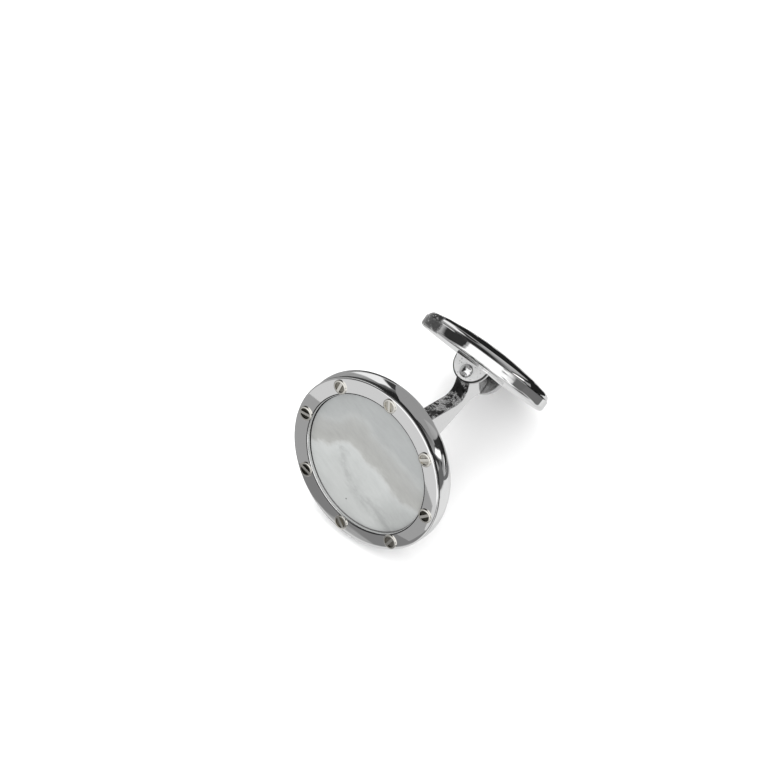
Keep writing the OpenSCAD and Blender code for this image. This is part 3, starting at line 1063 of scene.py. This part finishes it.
def table_y(height_on_face):
    """How far in front the ray ends that the face reflects at a height above its centre, in metres."""
    start = FACE @ Vector((0, height_on_face, 0))
    return start.y - mirrored.y * start.z / mirrored.z


CARD_LIFT = 0.00002
grey_back = table_y(3.0)
dark_back = table_y(-5.5)
# name: left, right, near y, far y, widening of the right edge in metres, brightness at near and far y
CARDS = {
    "grey_card": (-0.060, -0.0098, grey_back, dark_back, dark_back - grey_back, 0.36, 0.36),
    # the dark card and the shade, behind and right cards are painted shade on the table
    "table_shade_card": (-0.060, 0.030, dark_back, table_y(-9.6), 0.0, 0.22, 0.72),
    "shade_card": (-0.012, 0.004, -0.010, 0.0, 0.0, 0.02, 0.02),
    "behind_shade_card": (-0.040, 0.040, 0.0165, 0.046, 0.0, 0.015, 0.015),
    "right_shade_card": (0.0112, 0.060, 0.0085, 0.0160, 0.0, 0.16, 0.16),
}


def glow(name, near_y, far_y, near_tone, far_tone):
    """An emission that turns from one tone to the other in streaks, over the far part of a card."""
    made, tree, shader = material(name)
    place = add(tree, "ShaderNodeTexCoord").outputs["Object"]
    level = add(tree, "ShaderNodeMapRange", {
        "Value": add(tree, "ShaderNodeSeparateXYZ", {0: place}).outputs["Y"],
        "From Min": near_y, "From Max": far_y,
    }, clamp=False).outputs[0]
    streaks = noise(tree, stretch(tree, place, (150, 900, 1)), 1.0, detail=4.0)
    level = maths(tree, "ADD", level, maths(tree, "MULTIPLY_ADD", streaks, 0.3, -0.15))
    shown = ramp(tree, level, (0.72, near_tone), (0.98, far_tone))
    fill(tree, shader, {"Base Color": (0, 0, 0, 1), "Specular IOR Level": 0.0})
    fill(tree, shader, {"Emission Color": shown, "Emission Strength": 1.0})
    return made


def hide_card(card):
    """Only reflections show a card."""
    card.visible_camera = card.visible_diffuse = card.visible_shadow = False


for name, (left, right_end, near_y, far_y, widening, *tones) in CARDS.items():
    middle = ((left + right_end) / 2, (near_y + far_y) / 2, CARD_LIFT)
    made_of = glow(name, near_y, far_y, *tones)
    hide_card(stage_sheet(name, right_end - left, far_y - near_y, middle, made_of, widening))
    print(name, "from y", round(near_y / MM, 1), "to", round(far_y / MM, 1), "mm")

# %% [markdown]
# ## Standing cards
#
# The part of the cup's wall that the camera sees mirrors what is behind the disc and above the table. Two
# grey cards stand there, one above the other, and give the wall its long grey stripe. The Backfacing
# output makes their other side clear, so that the toggle doesn't show them.

# %% Grey cards that stand between the disc and the toggle
SCREEN_Y = 2
SCREEN_TONE = 0.31
# name, and left, right, bottom and top in millimetres
SCREENS = (("low_screen", -2.5, 7, 10.5, 22), ("high_screen", -2.5, 20, 22, 150))
for name, left, right_end, bottom, top in SCREENS:
    size = Vector((right_end - left, top - bottom)) * MM
    middle = Vector(((left + right_end) / 2, SCREEN_Y, (bottom + top) / 2)) * MM
    grey = glow(name, -1, 1, SCREEN_TONE, SCREEN_TONE)
    tree = grey.node_tree
    clear = add(tree, "ShaderNodeBsdfTransparent").outputs[0]
    behind = add(tree, "ShaderNodeNewGeometry").outputs["Backfacing"]
    shown = tree.nodes["Principled BSDF"].outputs[0]
    mixed = add(tree, "ShaderNodeMixShader", {0: behind, 1: shown, 2: clear}).outputs[0]
    tree.links.new(mixed, tree.nodes["Material Output"].inputs["Surface"])
    screen = stage_sheet(name, size.x, size.y, middle, grey, upright=True)
    hide_card(screen)
print("screens stand at y", SCREEN_Y, "mm")

# %% [markdown]
# ## Light
#
# The white dome does most of the work. One large soft lamp, high up behind the cufflink and a little to
# the camera's left, gives the shadow its direction. It is left out of the reflections, because the panels
# already stand for the lamps there.

# %% Key light
lamp = bpy.data.lights.new("key", "AREA")
lamp.shape = "DISK"
lamp.size = 0.20
lamp.energy = 0.27
key = link("key", lamp)
key.location = Vector((-0.15, 0.10, 0.30))
key.rotation_euler = (-key.location).to_track_quat("-Z", "Y").to_euler()
key.visible_glossy = False
bpy.context.scene.view_settings.view_transform = "Standard"
print("key light at", [round(v, 2) for v in key.location])
